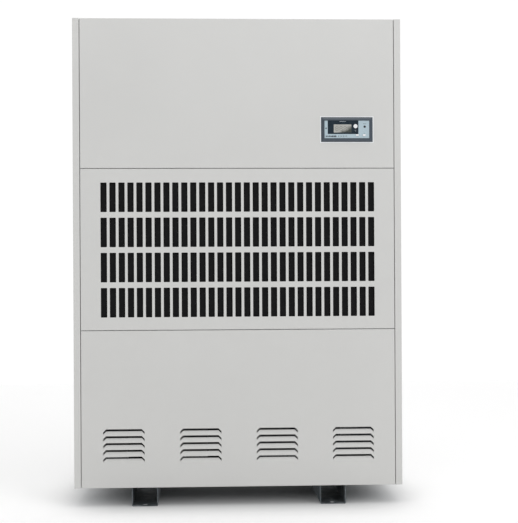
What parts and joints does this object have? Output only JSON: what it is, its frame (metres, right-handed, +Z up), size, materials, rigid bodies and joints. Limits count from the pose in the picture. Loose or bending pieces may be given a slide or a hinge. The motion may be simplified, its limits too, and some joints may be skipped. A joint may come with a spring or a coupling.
{
  "type": "industrial dehumidifier",
  "caption": "Floor-standing commercial dehumidifier: folded steel cabinet on skid rails with slotted intake door, louvred lower panel and a small keypad.",
  "frame": {"origin": "on the floor plane, midway between the four anchor holes of the skid rails", "axes": "+Z up, -Y out of the front with the intake door, +X to the right seen from the front"},
  "size_m": [1.2052, 0.5082, 1.7838],
  "materials": {
    "casing_paint": "fine powder coat, off-white",
    "galvanised": "zinc spangle",
    "dark_mesh": "woven filter",
    "filter_plastic": "moulded frame",
    "zinc_screw": "zinc plated",
    "bezel_plastic": "fine texture",
    "face_plate": "printed polycarbonate",
    "dark_gloss": "tinted window",
    "lcd": "unlit liquid crystal",
    "white_key": "moulded key",
    "lamp": "tinted lens",
    "circuit_board": "solder mask",
    "black_plastic": "moulded",
    "ground_steel": "ground",
    "motor_paint": "motor enamel",
    "laminations": "bare laminations",
    "cast_housing": "cast, painted",
    "copper": "drawn copper tube",
    "aluminium_fin": "fin stock",
    "pvc": "white pipe",
    "compressor_paint": "black enamel",
    "black_rubber": "moulded rubber",
    "brass_body": "machined",
    "grey_plastic": "moulded housing",
    "float_foam": "closed foam"
  },
  "bodies": {
    "cabinet": {"base_pan": "galvanised", "blower_housings": "galvanised", "breaker": "grey_plastic", "cable_gland": "black_plastic", "coil_end_plates": "galvanised", "compressor_mounts": "black_rubber", "compressor_shells": "compressor_paint", "condenser_fins": "aluminium_fin", "condenser_tubes": "copper", "contactors": "black_plastic", "control_bezel": "bezel_plastic", "control_board": "circuit_board", "control_cover": "black_plastic", "control_face_plate": "face_plate", "corner_posts": "galvanised", "crossbars": "galvanised", "discharge_grilles": "casing_paint", "display_surround": "dark_gloss", "display_window": "lcd", "door_catches": "black_plastic", "door_hinge_pins": "ground_steel", "drain_fitting": "pvc", "drain_pipe": "pvc", "drain_tray": "galvanised", "electrical_box": "galvanised", "evaporator_fins": "aluminium_fin", "evaporator_tubes": "copper", "expansion_valve": "brass_body", "fan_bolts": "zinc_screw", "fan_brackets": "galvanised", "fan_rails": "galvanised", "filter_drier": "compressor_paint", "float_switch": "grey_plastic", "lamp_lens": "lamp", "lower_front_panel": "casing_paint", "motor_bearings": "ground_steel", "motor_housing": "motor_paint", "motor_stator": "laminations", "panel_screws": "zinc_screw", "partition_sheets": "galvanised", "pillow_blocks": "cast_housing", "rear_panel_lower": "casing_paint", "rear_panel_upper": "casing_paint", "refrigerant_lines": "copper", "roof_panel": "casing_paint", "side_panel_left": "casing_paint", "side_panel_right": "casing_paint", "skid_rails": "galvanised", "upper_front_panel": "casing_paint"},
    "fan_rotor": {"fan_shaft": "ground_steel", "impellers": "galvanised", "motor_rotor": "laminations"},
    "intake_door_body": {"intake_door": "casing_paint", "filter_frame": "filter_plastic", "filter_mesh": "dark_mesh"},
    "power_key_body": {"power_key": "white_key"},
    "down_key_body": {"down_key": "white_key"},
    "up_key_body": {"up_key": "white_key"},
    "float_body": {"level_float": "float_foam"},
    "toggle_body": {"breaker_toggle": "black_plastic"}
  },
  "joints": [
    {"name": "fan_spin", "type": "hinge", "parent": "cabinet", "child": "fan_rotor", "pos_m": [0, 0.008, 1.478], "axis": [1, 0, 0], "continuous": true},
    {"name": "intake_door_hinge", "type": "hinge", "parent": "cabinet", "child": "intake_door_body", "pos_m": [-0.568, -0.224, 0.938], "axis": [0, 0, -1], "range_deg": [0, 100]},
    {"name": "power_key_press", "type": "slide", "parent": "cabinet", "child": "power_key_body", "axis": [0, 1, 0], "range_m": [0, 0.0015], "stiffness_N_per_m": 1500},
    {"name": "down_key_press", "type": "slide", "parent": "cabinet", "child": "down_key_body", "axis": [0, 1, 0], "range_m": [0, 0.001], "stiffness_N_per_m": 1500},
    {"name": "up_key_press", "type": "slide", "parent": "cabinet", "child": "up_key_body", "axis": [0, 1, 0], "range_m": [0, 0.001], "stiffness_N_per_m": 1500},
    {"name": "float_rise", "type": "slide", "parent": "cabinet", "child": "float_body", "axis": [0, 0, 1], "range_m": [0, 0.011]},
    {"name": "breaker_switch", "type": "hinge", "parent": "cabinet", "child": "toggle_body", "pos_m": [0.373, 0.046, 0.21], "axis": [1, 0, 0], "range_deg": [0, 50]}
  ]
}
